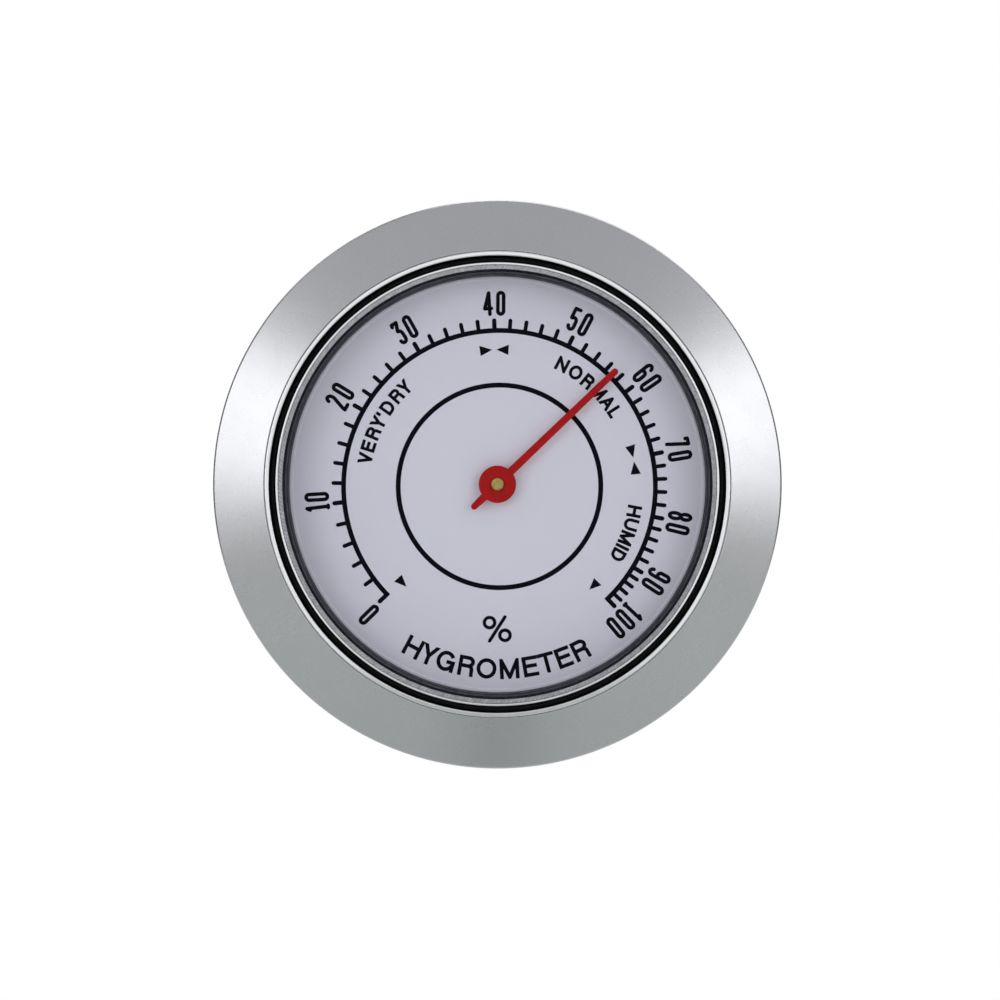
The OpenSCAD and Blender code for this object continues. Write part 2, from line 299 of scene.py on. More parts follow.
def turned(slot, colour, roughness, pitch=0.11, tarnish=0.78):
    """Metal with fine rings from the lathe and a cloudy tarnish."""
    f = Finish(slot, colour, roughness, 1.0)
    cloud = f.noise(0.8, 5)
    f.shade(cloud, 0.32, 0.68, tarnish, 1.04)
    f.rough(f.noise(0.5, 4), 0.3, 0.7, roughness * 0.8, roughness * 1.35)
    f.feed("Normal", f.bump(f.rings(pitch), 0.0012, f.bump(f.noise(0.1, 2), 0.0012)))
    return f.material


def rolled(slot, colour, roughness, along=(1, 1, 14)):
    """Sheet metal with the fine grain of the rolls."""
    f = Finish(slot, colour, roughness, 1.0)
    grain = f.noise(0.5, 4, f.stretched(along))
    f.shade(grain, 0.3, 0.7, 0.86, 1.03)
    f.rough(grain, 0.3, 0.7, roughness * 0.85, roughness * 1.3)
    f.feed("Normal", f.bump(grain, 0.0015))
    return f.material


def strip_film():
    f = Finish("strip_film", (0.8, 0.74, 0.58), 0.7, Sheen_Weight=0.2)
    fibre = f.noise(0.25, 5, f.stretched((1, 6, 1)))
    f.shade(fibre, 0.3, 0.7, 0.82, 1.05)
    f.rough(fibre, 0.3, 0.7, 0.6, 0.85)
    f.feed("Normal", f.bump(fibre, 0.006))
    return f.material


def felt():
    f = Finish("felt", (0.09, 0.09, 0.095), 0.95, Sheen_Weight=0.6, Sheen_Roughness=0.6)
    fibre = f.noise(0.3, 6, f.stretched((1, 1, 3)))
    across = f.noise(0.3, 6, f.stretched((3, 1, 1)))
    f.shade(f.add(fibre, across), 0.75, 1.25, 0.5, 1.7)
    f.rough(fibre, 0.3, 0.7, 0.85, 1.0)
    f.feed("Normal", f.bump(f.add(fibre, across), 0.05))
    return f.material


def lens_glass():
    """Clear glass that doesn't bend light: it lets the dial be lit and adds a faint mirror."""
    f = Finish("lens_glass", (1, 1, 1), 0.02)
    smear = f.noise(5, 4)
    clear = f.node("ShaderNodeBsdfTransparent", {"Color": (0.985, 0.988, 1.0, 1)})
    mirror = f.node("ShaderNodeBsdfGlossy", {"Color": (1, 1, 1, 1)})
    f.tree.links.new(f.ramp(smear, 0.35, 0.65, 0.01, 0.035), mirror.inputs["Roughness"])
    slant = f.node("ShaderNodeLayerWeight", {"Blend": 0.5}).outputs["Facing"]
    slant = f.node("ShaderNodeMath", {0: slant, 1: 5.0}, operation="POWER").outputs[0]
    share = f.ramp(slant, 0, 1, 0.04, 1)  # the same from inside and outside
    mix = f.node("ShaderNodeMixShader", {0: share, 1: clear.outputs[0], 2: mirror.outputs[0]})
    f.tree.links.new(mix.outputs[0], f.tree.nodes["Material Output"].inputs["Surface"])
    f.tree.nodes.remove(f.shader)
    return f.material


for flat_colour in list(bpy.data.materials):
    bpy.data.materials.remove(flat_colour)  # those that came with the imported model

MATERIALS = {
    material.name: material
    for material in (
        satin_chrome(), bright_chrome(), ribbed_steel(), black_rubber(), dark_surround(), black_enamel(),
        dial_enamel(), dial_ink(), pointer_red(), strip_film(), felt(), lens_glass(),
        turned("brass", (0.5, 0.385, 0.12), 0.3),
        turned("bronze", (0.55, 0.3, 0.15), 0.36),
        turned("screw_steel", (0.56, 0.56, 0.57), 0.3),
        rolled("plate_aluminium", (0.7, 0.71, 0.72), 0.34),
        rolled("strip_metal", (0.66, 0.56, 0.34), 0.3, (1, 14, 1)),
    )
}


# ---------------------------------------------------------------------------------- mesh helpers

SHARP = math.radians(32)


def piece(name, bm, body, slot, replaces=(), smooth=True, stamped=False):
    """Turns a bmesh into a named piece that rides on a body and takes a slot's finish. stamped keeps its
    flat faces flat beside rounded edges."""
    bmesh.ops.recalc_face_normals(bm, faces=bm.faces)
    bm.normal_update()
    for face in bm.faces:
        face.smooth = smooth
    for edge in bm.edges:
        bent = len(edge.link_faces) == 2 and edge.calc_face_angle(0) > SHARP
        edge.smooth = not (bent or len({abs(f.normal.y) > 0.9999 for f in edge.link_faces}) == 2 and stamped)
    mesh = bpy.data.meshes.new(name)
    bm.to_mesh(mesh)
    bm.free()
    made = in_scene(name, mesh)
    mesh.materials.append(MATERIALS[slot])
    if replaces:
        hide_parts(*replaces)
    if body:
        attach(made, body)
    return made


def in_scene(name, data):
    """A new object of this name in the scene."""
    made = bpy.data.objects.new(name, data)
    bpy.context.scene.collection.objects.link(made)
    return made


def supported(outline, margin=0.03):
    """The outline with a point close to each end of its long sides, so that they stay flat when shaded."""
    made = []
    for a, b in zip(outline, outline[1:] + outline[:1]):
        made.append(a)
        length = math.dist(a, b)
        if length > 8 * margin:
            for share in (margin / length, 1 - margin / length):
                made.append((a[0] + (b[0] - a[0]) * share, a[1] + (b[1] - a[1]) * share))
    return made


def lathe(bm, outline, steps=FINE):
    """Adds the ring or disc turned from a closed outline of (radius, height) points. outline may be a
    function that gives the outline at an angle in degrees."""
    fixed = None if callable(outline) else supported(outline)
    outline_at = outline if fixed is None else lambda angle: fixed
    count = len(outline_at(0))
    sections = []
    for i in range(steps):
        angle = 360 * i / steps
        sections.append([(r, polar(r, angle, h)) for r, h in outline_at(angle)])
    on_axis = [sections[0][k][0] < 1e-6 for k in range(count)]
    rows = []
    for k in range(count):
        if on_axis[k]:
            rows.append([bm.verts.new(sections[0][k][1])] * steps)
        else:
            rows.append([bm.verts.new(section[k][1]) for section in sections])
    for k in range(count):
        a, b = rows[k], rows[(k + 1) % count]
        for i in range(steps):
            j = (i + 1) % steps
            corners = list(dict.fromkeys([a[i], a[j], b[j], b[i]]))
            if len(corners) > 2:
                bm.faces.new(corners)


def turned_piece(name, outline, node, steps=FINE, slot=None, replaces=None):
    """A turned piece that stands for a CAD node, on that node's body and with its slot."""
    bm = bmesh.new()
    lathe(bm, outline, steps)
    stands_for = (node,) if replaces is None else replaces
    return piece(name, bm, BODY_OF[node], slot or SLOT_OF[node], stands_for)


def slab(bm, polygons, low, high):
    """Adds the union of flat polygons, each a list of (x, y) points, as a closed solid between two
    heights."""
    points, faces = [], []
    for polygon in polygons:
        turning = sum(a[0] * b[1] - a[1] * b[0] for a, b in zip(polygon, polygon[1:] + polygon[:1]))
        if turning < 0:
            polygon = polygon[::-1]
        faces.append(list(range(len(points), len(points) + len(polygon))))
        points += [Vector(p) for p in polygon]
    flat, _, triangles, _, _, owners = delaunay_2d_cdt(points, [], faces, 0, 1e-5)
    back = [bm.verts.new(place(p.x, p.y, low)) for p in flat]
    made = [bm.faces.new([back[i] for i in triangle]) for triangle, owner in zip(triangles, owners) if owner]
    lifted = bmesh.ops.extrude_face_region(bm, geom=made, use_keep_orig=True)["geom"]
    top = [g for g in lifted if isinstance(g, bmesh.types.BMVert)]
    bmesh.ops.translate(bm, verts=top, vec=place(0, 0, high - low))
    bmesh.ops.delete(bm, geom=[v for v in back if not v.link_faces], context="VERTS")


def smooth_slab(name, outlines, low, high, bevel, body, slot, replaces=()):
    """A stamped plate: the first outline is its edge and the others are holes, with rounded edges."""
    curve = bpy.data.curves.new(name, "CURVE")
    curve.dimensions = "2D"
    curve.fill_mode = "BOTH"
    curve.extrude = ((high - low) / 2 - bevel) * MM
    curve.bevel_depth = bevel * MM
    curve.bevel_resolution = 3
    curve.offset = -bevel * MM
    for outline in outlines:
        spline = curve.splines.new("POLY")
        spline.points.add(len(outline) - 1)
        for point, (x, y) in zip(spline.points, outline):
            point.co = (x * MM, y * MM, 0, 1)
        spline.use_cyclic_u = True
    holder = in_scene(name + "_outline", curve)
    bpy.context.view_layer.update()
    mesh = bpy.data.meshes.new_from_object(holder.evaluated_get(bpy.context.evaluated_depsgraph_get()))
    bpy.data.objects.remove(holder)
    bpy.data.curves.remove(curve)
    bm = bmesh.new()
    bm.from_mesh(mesh)
    bpy.data.meshes.remove(mesh)
    bmesh.ops.remove_doubles(bm, verts=bm.verts, dist=1e-7)
    middle = (low + high) / 2
    for v in bm.verts:
        v.co = place(v.co.x / MM, v.co.y / MM, middle + v.co.z / MM)
    return piece(name, bm, body, slot, replaces, stamped=True)


def circle(radius, steps=ROUND, x=0.0, y=0.0):
    return corner(x, y, radius, 0, 360 * (steps - 1) / steps, steps - 1)


# ---------------------------------------------------------------------------------- mounting ring

FLANGE_R, SLEEVE_BACK, LIP_TOP = reach("mounting_bezel")
BAND_R, BAND_BACK, _ = reach("grip_band")
RIM_R, RIM_BACK, RIM_TOP = reach("capsule_rim")
RIBBED_R, LENS_FRONT, RIBBED_TOP = reach("ribbed_ring")
LENS_R, LENS_BACK, _ = reach("lens")
SPACER_R, DIAL_FRONT, SPACER_TOP = reach("dial_spacer")
STACK_R, DIAL_BACK, _ = reach("dial_plate")
CAN_R, CAN_BACK, CAN_TOP = reach("case_can")
SEAL_R, SEAL_BACK, SEAL_TOP = reach("front_o_ring")
FELT_R, FELT_BACK, FELT_FRONT = reach("vent_screen")

BORE_R = SEAL_R + 0.04
LIP_R = BORE_R + 0.46
FLANGE_RISE = LIP_TOP - 0.2
FLANGE_EDGE = 1.2
SLEEVE_R = BAND_R - 0.5
BAND_SEAT_R = SLEEVE_R - 0.3
RELIEF_R = BAND_R + 0.15
LINER = 0.3  # thickness of the polished wall inside the bore
STOP_R = BORE_R - 0.6
STOP_TOP = SLEEVE_BACK + 0.6


def bezel_flange():
    """Satin cone, its rounded edge, and the sleeve behind it."""
    cone_r = LIP_R + 0.1
    chamfer_r = FLANGE_R - 0.16
    edge = FLANGE_RISE - (FLANGE_RISE - FLANGE_EDGE) * (chamfer_r - cone_r) / (FLANGE_R - cone_r)
    foot_r = 0.2
    groove = 0.12  # depth of the fine groove between the cone and the lip
    relief = 0.3  # depth of the groove that clears the rubber band
    outline = (
        [(STOP_R, SLEEVE_BACK), (STOP_R, STOP_TOP), (BORE_R + LINER, STOP_TOP)]
        + [(BORE_R + LINER, FLANGE_RISE - groove - 0.1), (LIP_R - 0.02, FLANGE_RISE - groove - 0.1)]
        + [(LIP_R - 0.02, FLANGE_RISE - groove), (LIP_R + 0.03, FLANGE_RISE - groove)]
        + corner(cone_r + 0.02, FLANGE_RISE - 0.055, 0.05, 180, 72, 5)
        + [(chamfer_r, edge), (chamfer_r + 0.03, edge - 0.03), (FLANGE_R, FLANGE_EDGE - 0.3)]
        + corner(FLANGE_R - foot_r, foot_r, foot_r, 0, -90, 5)
        + [(RELIEF_R, 0), (RELIEF_R, relief), (BAND_SEAT_R, relief), (BAND_SEAT_R, BAND_BACK)]
        + corner(SLEEVE_R - 0.1, BAND_BACK - 0.1, 0.1, 90, 0, 3)
        + corner(SLEEVE_R - 0.3, SLEEVE_BACK + 0.3, 0.3, 0, -90, 5)
    )
    return turned_piece("bezel_flange", outline, "mounting_bezel")


def bezel_lip():
    """Polished lip round the bore, with the polished wall below it."""
    edge_r = 0.1
    lean = 5  # degrees that the lip's face falls outwards
    outer = LIP_R - edge_r
    fall = (outer - BORE_R - edge_r) * math.tan(math.radians(lean))
    outline = (
        [(BORE_R, STOP_TOP), (BORE_R + LINER - 0.01, STOP_TOP)]
        + [(BORE_R + LINER - 0.01, FLANGE_RISE - 0.22), (LIP_R, FLANGE_RISE - 0.22)]
        + corner(outer, LIP_TOP - edge_r - fall, edge_r, 0, 90 - lean)
        + corner(BORE_R + edge_r, LIP_TOP - edge_r, edge_r, 90 - lean, 180)
    )
    return turned_piece("bezel_lip", outline, "mounting_bezel", slot="bright_chrome")


def band():
    """Rubber band with low ribs that the wall of the hole squeezes."""
    ribs = 4
    depth = 0.14
    steps = 48
    length = -BAND_BACK
    outer = []
    for i in range(steps + 1):
        share = i / steps
        wave = 0.5 - 0.5 * math.cos(2 * math.pi * ribs * share)
        outer.append((BAND_R - depth * (1 - wave) ** 2, BAND_BACK + length * share))
    outline = [(BAND_SEAT_R + 0.01, 0), (BAND_SEAT_R + 0.01, BAND_BACK)] + outer
    return turned_piece("grip_band_ribbed", outline, "grip_band")


# ---------------------------------------------------------------------------------- capsule

RIM_INNER_R = RIM_R - 0.25
RIBBED_INNER_R = 22.67
DIAL_VIEW_R = 22.09
BUTTON_HOLE_R = 3.7  # hole over the calibration button


def rim():
    """Bright rim pressed over the can, with a thin rounded edge."""
    edge_r = 0.07
    lean = 5  # degrees that the narrow face falls outwards
    inner, outer = RIM_INNER_R + edge_r, RIM_R - edge_r
    fall = (outer - inner) * math.tan(math.radians(lean))
    outline = (
        [(CAN_R, RIM_BACK), (RIM_R - 0.06, RIM_BACK), (RIM_R, RIM_BACK + 0.06)]
        + corner(outer, RIM_TOP - edge_r - fall, edge_r, 0, 90 - lean)
        + corner(inner, RIM_TOP - edge_r, edge_r, 90 - lean, 180)
        + [(RIM_INNER_R, LENS_FRONT), (LENS_R + 0.05, LENS_FRONT)]
        + [(LENS_R + 0.05, CAN_TOP), (CAN_R, CAN_TOP)]
    )
    return turned_piece("rim_bright", outline, "capsule_rim")


def retaining_ring():
    """Snap ring over the lens, with fine radial ribs on its sloping face."""
    ribs = 330
    depth = 0.13
    lean = 300  # how far a rib leans along the ring, in degrees of its own wave
    parts = 8
    inner, outer = RIBBED_INNER_R, RIBBED_R - 0.035
    low, high = LENS_FRONT + 0.24, RIBBED_TOP - 0.03

    def outline_at(angle):
        slope = []
        for k in range(parts + 1):
            share = k / parts
            wave = 0.5 + 0.5 * math.cos(math.radians(angle * ribs + lean * share))
            slope.append((inner + (outer - inner) * share, low + (high - low) * share - depth * (1 - wave)))
        return [(inner, LENS_FRONT), (outer, LENS_FRONT)] + slope[::-1]

    return turned_piece("snap_ring", outline_at, "ribbed_ring", steps=ribs * 5)


def window():
    """Flat lens with a polished round on each edge."""
    edge = 0.14
    outline = (
        [(0, LENS_BACK)]
        + corner(LENS_R - edge, LENS_BACK + edge, edge, -90, 0, 5)
        + corner(LENS_R - edge, LENS_FRONT - edge, edge, 0, 90, 5)
        + [(0, LENS_FRONT)]
    )
    return turned_piece("lens_window", outline, "lens")


def gasket():
    """Thin ring that the lens rests on."""
    outline = (
        [(LENS_R - 0.18, SPACER_TOP), (LENS_R, SPACER_TOP), (LENS_R, LENS_BACK)]
        + [(LENS_R - 0.14, LENS_BACK), (LENS_R - 0.18, LENS_BACK - 0.04)]
    )
    return turned_piece("lens_seat_ring", outline, "lens_gasket")


def surround():
    """Dark cone between the dial and the lens, with two fine steps."""
    step = -1.1  # height of the lower step
    outline = [
        (DIAL_VIEW_R, DIAL_FRONT), (STACK_R, DIAL_FRONT), (STACK_R, CAN_TOP), (SPACER_R, CAN_TOP),
        (SPACER_R, SPACER_TOP), (SPACER_R - 0.37, SPACER_TOP), (SPACER_R - 0.45, SPACER_TOP - 0.08),
        (DIAL_VIEW_R + 0.2, step), (DIAL_VIEW_R + 0.14, step - 0.06), (DIAL_VIEW_R, DIAL_FRONT + 0.05),
    ]
    return turned_piece("surround_cone", outline, "dial_spacer")


def dial():
    """Enamelled dial with a low rolled edge and a hole for the bearing."""
    hole = 1.6
    roll_r = 0.2
    outline = (
        [(hole, DIAL_BACK), (STACK_R, DIAL_BACK), (STACK_R, DIAL_FRONT), (DIAL_VIEW_R, DIAL_FRONT)]
        + arc(DIAL_VIEW_R - roll_r, DIAL_FRONT, roll_r, 0.055, 10, 180, 8)
        + [(r, DIAL_FRONT) for r in (20.5, 18, 15, 12, 9, 6, 3)]
        + [(hole + 0.05, DIAL_FRONT), (hole, DIAL_FRONT - 0.05)]
    )
    return turned_piece("dial_face", outline, "dial_plate")


def front_seal():
    """Black seal between the rim and the lip."""
    section = (SEAL_R - RIM_R) / 2
    outline = [(RIM_R, SEAL_BACK), (SEAL_R, SEAL_BACK)] + corner(
        RIM_R + section, SEAL_TOP - section, section, 0, 180, 12
    )
    return turned_piece("front_seal", outline, "front_o_ring")


def rear_seal():
    """Round O-ring near the back of the sleeve."""
    r, back, front = reach("rear_o_ring")
    section = (front - back) / 2
    return turned_piece("rear_seal", circle(section, 24, r - section, back + section), "rear_o_ring")


def can():
    """Enamelled can: a drawn wall with a rounded shoulder, and a back pierced with air slots."""
    wall = 0.4
    floor = 0.5
    fillet = 0.45
    inner = CAN_R - wall
    disc_r = inner - 2.2  # where the turned wall gives way to the pierced back
    outline = (
        [(inner, CAN_TOP), (inner, CAN_BACK + floor), (disc_r, CAN_BACK + floor), (disc_r, CAN_BACK)]
        + corner(CAN_R - fillet, CAN_BACK + fillet, fillet, -90, 0)
        + [(CAN_R, CAN_TOP - 0.08), (CAN_R - 0.08, CAN_TOP)]
    )
    made = turned_piece("can_wall", outline, "case_can")
    slots = 12
    slot_from, slot_to, half = 8, 18.5, 0.9
    oval = corner(slot_to, 0, half, -90, 90, 10) + corner(slot_from, 0, half, 90, 270, 10)
    holes = [circle(BUTTON_HOLE_R)]
    holes += [[rotated(p, 360 * i / slots) for p in oval] for i in range(slots)]
    disc = circle(disc_r + 0.02, FINE)
    smooth_slab("can_back", [disc] + holes, CAN_BACK, CAN_BACK + floor, 0.12, "capsule", "black_enamel")
    return made


def dust_screen():
    """Felt disc behind the air slots, with an uneven nap."""
    rings, steps = 56, 360
    nap = 0.1

    def outline_at(angle):
        a = math.radians(angle)
        face = []
        for k in range(rings + 1):
            r = BUTTON_HOLE_R + (FELT_R - BUTTON_HOLE_R) * k / rings
            tuft = noise.fractal(Vector((r * math.cos(a), r * math.sin(a), 0)) * 1.7, 0.8, 2.2, 3)
            face.append((r, FELT_BACK + nap * (0.5 + 0.5 * max(-1, min(1, tuft)))))
        return face + [(FELT_R, FELT_FRONT), (BUTTON_HOLE_R, FELT_FRONT)]

    return turned_piece("dust_felt", outline_at, "vent_screen", steps=steps)


# ---------------------------------------------------------------------------------- dial printing

INK_TOP = DIAL_FRONT + 0.016
INK_FOOT = DIAL_FRONT - 0.02
PRINT_SHIFT = Vector((0.22, -0.22))  # the print sits a little off the dial's centre
SCALE_START = 223.83
DECADE_SPANS = [38, 35, 30, 29, 28, 27, 25, 23, 20, 15]
TICKS_PER_DECADE = 5
MITRE_LIMIT = 0.15  # least squared length of two unit normals' sum, which blunts sharp joints


def scale_angle(humidity):
    """Angle of a humidity in percent on the scale, whose decades grow narrower."""
    decade = min(int(humidity // 10), 9)
    return SCALE_START - sum(DECADE_SPANS[:decade]) - DECADE_SPANS[decade] * (humidity / 10 - decade)


def printed(name, polygons):
    """Ink standing just proud of the dial."""
    bm = bmesh.new()
    moved = [[(x + PRINT_SHIFT.x, y + PRINT_SHIFT.y) for x, y in polygon] for polygon in polygons]
    slab(bm, moved, INK_FOOT, INK_TOP)
    return piece(name, bm, "capsule", "dial_ink", smooth=False)


def ring_band(radius, width, start, end, steps):
    """Four-sided polygons that follow a circle, from one angle to another."""
    inner, outer = radius - width / 2, radius + width / 2
    a = arc(0, 0, inner, inner, start, end, steps)
    b = arc(0, 0, outer, outer, start, end, steps)
    return [[a[i], b[i], b[i + 1], a[i + 1]] for i in range(steps)]


def stroke(points, width, closed=False, extend=(0.0, 0.0)):
    """Polygons of a line of even width through the points, with mitred joints. extend lengthens its
    two ends."""
    p = [Vector(q) for q in points]
    if not closed:
        p[0] = p[0] - (p[1] - p[0]).normalized() * extend[0]
        p[-1] = p[-1] + (p[-1] - p[-2]).normalized() * extend[1]
    count = len(p)
    left = []
    for i in range(count):
        before = p[i] - p[i - 1] if closed or i else p[1] - p[0]
        after = p[(i + 1) % count] - p[i] if closed or i < count - 1 else before
        n1 = Vector((-before.y, before.x)).normalized()
        n2 = Vector((-after.y, after.x)).normalized()
        mitre = n1 + n2
        left.append(mitre * (width / max(mitre.length_squared, MITRE_LIMIT)))
    quads = []
    for i in range(count if closed else count - 1):
        j = (i + 1) % count
        quads.append([p[i] + left[i], p[i] - left[i], p[j] - left[j], p[j] + left[j]])
    return quads


def round_stroke(points, width, closed=False):
    """The same with round ends and joints."""
    p = [Vector(q) for q in points]
    polygons = [[Vector(c) for c in circle(width / 2, 16, q.x, q.y)] for q in p]
    for a, b in zip(p, p[1:] + (p[:1] if closed else [])):
        along = (b - a).normalized() * (width / 2)
        across = Vector((-along.y, along.x))
        polygons.append([a + across, a - across, b - across, b + across])
    return polygons


def clipped(polygon, low, high):
    """The part of a convex polygon between two heights."""
    for limit, keep_above in ((low, True), (high, False)):
        kept = []
        for i, b in enumerate(polygon):
            a = polygon[i - 1]
            a_in = (a.y >= limit) == keep_above or a.y == limit
            b_in = (b.y >= limit) == keep_above or b.y == limit
            if a_in != b_in:
                kept.append(a + (b - a) * ((limit - a.y) / (b.y - a.y)))
            if b_in:
                kept.append(b)
        polygon = kept
        if len(polygon) < 3:
            return []
    return polygon


def letters(squeeze=1.0):
    """Plain monoline capitals, one unit high: width, bearings left and right, and strokes. Every width
    is multiplied by squeeze."""
    straight, round_side, open_side, slant = 0.125, 0.1, -0.05, 0.005

    def wide(width):
        return width * squeeze

    table = {}
    w = wide(0.7)
    table["V"] = (w, slant, slant, [[(0, 1), (w / 2, 0), (w, 1)]])
    w = wide(0.65)
    table["Y"] = (w, slant, slant, [[(0, 1), (w / 2, 0.42), (w, 1)], [(w / 2, 0.45), (w / 2, 0)]])
    w = wide(0.82)
    table["A"] = (w, slant, slant, [[(0, 0), (w / 2, 1), (w, 0)], [(w * 0.15, 0.3), (w * 0.85, 0.3)]])
    w = wide(0.81)
    table["E"] = (w, straight, open_side, [[(w, 1), (0, 1), (0, 0), (w, 0)], [(0, 0.53), (w * 0.92, 0.53)]])
    w = wide(0.60)
    table["L"] = (w, straight, slant, [[(0, 1), (0, 0), (w, 0)]])
    w = wide(0.75)
    bowl = [(0, 0), (0, 1)] + arc(w * 0.6, 0.755, w * 0.37, 0.245, 90, -90, 10) + [(0, 0.51)]
    leg = [(w * 0.4, 0.51)] + arc(w * 0.58, 0.34, w * 0.36, 0.17, 90, 0, 6) + [(w * 0.97, 0)]
    table["R"] = (w, straight, 0.06, [bowl, leg])
    w = wide(0.80)
    table["D"] = (
        w, straight, round_side,
        [[(0, 0), (0, 1)] + arc(w * 0.45, 0.5, w * 0.55, 0.5, 90, -90, 18) + [(0, 0)]],
    )
    w = wide(0.8)
    table["H"] = (w, straight, straight, [[(0, 0), (0, 1)], [(w, 0), (w, 1)], [(0, 0.52), (w, 0.52)]])
    w = wide(0.85)
    table["N"] = (w, straight, straight, [[(0, 0), (0, 1), (w, 0), (w, 1)]])
    table["U"] = (w, straight, straight, [[(0, 1)] + arc(w / 2, 0.4, w / 2, 0.4, 180, 360, 16) + [(w, 1)]])
    w = wide(0.945)
    table["M"] = (w, straight, straight, [[(0, 0), (0, 1), (w / 2, 0), (w, 1), (w, 0)]])
    w = wide(0.97)
    table["O"] = (w, round_side, round_side, [arc(w / 2, 0.5, w / 2, 0.5, 0, 360 * 35 / 36, 35)])
    w = wide(0.905)
    table["G"] = (
        w, round_side, straight,
        [arc(w / 2, 0.5, w / 2, 0.5, 33, 338, 32), [(w * 0.55, 0.47), (w, 0.47), (w, 0)]],
    )
    w = wide(0.99)
    table["T"] = (w, -0.09, -0.09, [[(0, 1), (w, 1)], [(w / 2, 1), (w / 2, 0)]])
    table["I"] = (0, straight, straight, [[(0, 0), (0, 1)]])
    table["'"] = (0, 0.01, 0.09, [[(0.02, 1.08), (0, 0.64)]])
    return table


CLOSED_GLYPHS = ("O", "0", "8")


def digits():
    """Narrow rounded numerals, one unit high, in the same form."""
    w = 0.269
    r = w / 2
    side = 0.079
    six = (
        arc(r, 0.83, r, 0.17, 10, 180, 8)
        + arc(r, 0.17, r, 0.17, 180, 360, 10)
        + arc(r, 0.43, r, 0.15, 0, 165, 8)
    )
    nine = [(w - x, 1 - y) for x, y in six]
    table = {
        "0": [arc(r, 1 - r, r, r, 0, 180, 10) + arc(r, r, r, r, 180, 360, 10)],
        "2": [arc(r, 0.83, r, 0.17, 170, 0, 9) + [(w, 0.72), (w * 0.12, 0.14), (0, 0), (w, 0)]],
        "3": [
            [(0.0, 0.9), (0.02, 1), (w, 1), (w * 0.42, 0.6)]
            + arc(r, 0.42, r, 0.17, 75, 0, 5)
            + arc(r, 0.17, r, 0.17, 0, -170, 9)
        ],
        "4": [[(w * 0.72, 0), (w * 0.72, 1), (-0.03, 0.27), (w * 1.05, 0.27)]],
        "5": [
            [(w, 1), (w * 0.1, 1), (w * 0.02, 0.53)]
            + arc(r, 0.42, r, 0.15, 135, 0, 7)
            + arc(r, 0.17, r, 0.17, 0, -170, 9)
        ],
        "6": [six],
        "7": [[(0.0, 0.9), (0.0, 1), (w, 1), (w * 0.25, 0)]],
        "8": [
            arc(r, 0.765, r * 0.94, 0.235, 0, 360 * 23 / 24, 23),
            arc(r, 0.265, r, 0.265, 0, 360 * 23 / 24, 23),
        ],
        "9": [nine],
    }
    made = {name: (w, side, side, strokes) for name, strokes in table.items()}
    made["1"] = (0.115, side, side, [[(0, 0.86), (0.085, 1), (0.085, 0)], [(0.02, 0), (0.13, 0)]])
    return made


def lettering(text, font, radius, height, width, centre=None, span=None, outward=True, round_ends=False):
    """Polygons of a word along a circle. height is its capitals' full height and width its stroke's.
    Its natural length is centred at an angle, or spread over a span from one angle to another."""
    unit = height - width
    glyphs = [font[c] for c in text]
    advance = [(g[0] + g[1] + g[2]) * unit + width for g in glyphs]
    total = sum(advance) - (glyphs[0][1] + glyphs[-1][2]) * unit
    gap = 0.0
    if span:
        centre = (span[0] + span[1]) / 2
        gap = (math.radians(abs(span[1] - span[0])) * radius - total) / (len(text) - 1)
        total += gap * (len(text) - 1)
    at = -total / 2 - glyphs[0][1] * unit
    flip = 1 if outward else -1
    polygons = []
    for char, glyph, step in zip(text, glyphs, advance):
        body = glyph[0] * unit
        middle = at + glyph[1] * unit + width / 2 + body / 2
        angle = centre - flip * math.degrees(middle / radius)
        at += step + gap
        for line in glyph[3]:
            points = [(x * unit - body / 2, (y - 0.5) * unit) for x, y in line]
            closed = char in CLOSED_GLYPHS
            if round_ends:
                parts = round_stroke(points, width, closed)
            else:
                ends = ((line[0][1], line[1][1]), (line[-1][1], line[-2][1]))
                extend = [width * 1.5 if end in (0, 1) and end != inner else 0 for end, inner in ends]
                parts = [clipped(q, -height / 2, height / 2) for q in stroke(points, width, closed, extend)]
            turn = angle - 90 if outward else angle + 90
            x, y = arc(0, 0, radius, radius, angle, angle, 1)[0]
            for part in filter(None, parts):
                polygons.append([(x + a, y + b) for a, b in (rotated(p, turn) for p in part)])
    return polygons


def scale_marks():
    """The scale's arc and its ticks."""
    arc_r, line = 16.556, 0.51
    tick_end = 17.85
    half_deg = math.degrees(0.22 / arc_r)
    marks = ring_band(arc_r, line, scale_angle(0) + half_deg, scale_angle(100) - half_deg, 200)
    for i in range(10 * TICKS_PER_DECADE + 1):
        thick = 0.47 if i % TICKS_PER_DECADE == 0 else 0.42
        angle = scale_angle(100 * i / (10 * TICKS_PER_DECADE))
        marks += round_stroke([rotated((r, 0), angle) for r in (arc_r, tick_end - thick / 2)], thick)
    printed("print_scale", marks)
    printed("print_circle", ring_band(10.756, 0.52, 0, 360, 240))


def scale_numbers():
    """0 to 100 in tens round the scale, each at its own angle."""
    centres = [224.5, 184.8, 150.7, 121.2, 91.6, 64.0, 36.3, 11.6, -11.45, -31.15, -47.1]
    font = digits()
    polygons = []
    for i, centre in enumerate(centres):
        polygons += lettering(str(10 * i), font, 19.44, 2.65, 0.39, centre=centre, round_ends=True)
    printed("print_numbers", polygons)


def zone_words():
    """Plain words for the dry, normal and humid parts of the scale."""
    font = letters(0.93)
    polygons = []
    for word, start, end in (("VERY'DRY", 170.35, 131.6), ("NORMAL", 65.25, 30.6), ("HUMID", -8.1, -32.5)):
        polygons += lettering(word, font, 14.55, 1.54, 0.33, span=(start, end))
    printed("print_zones", polygons)


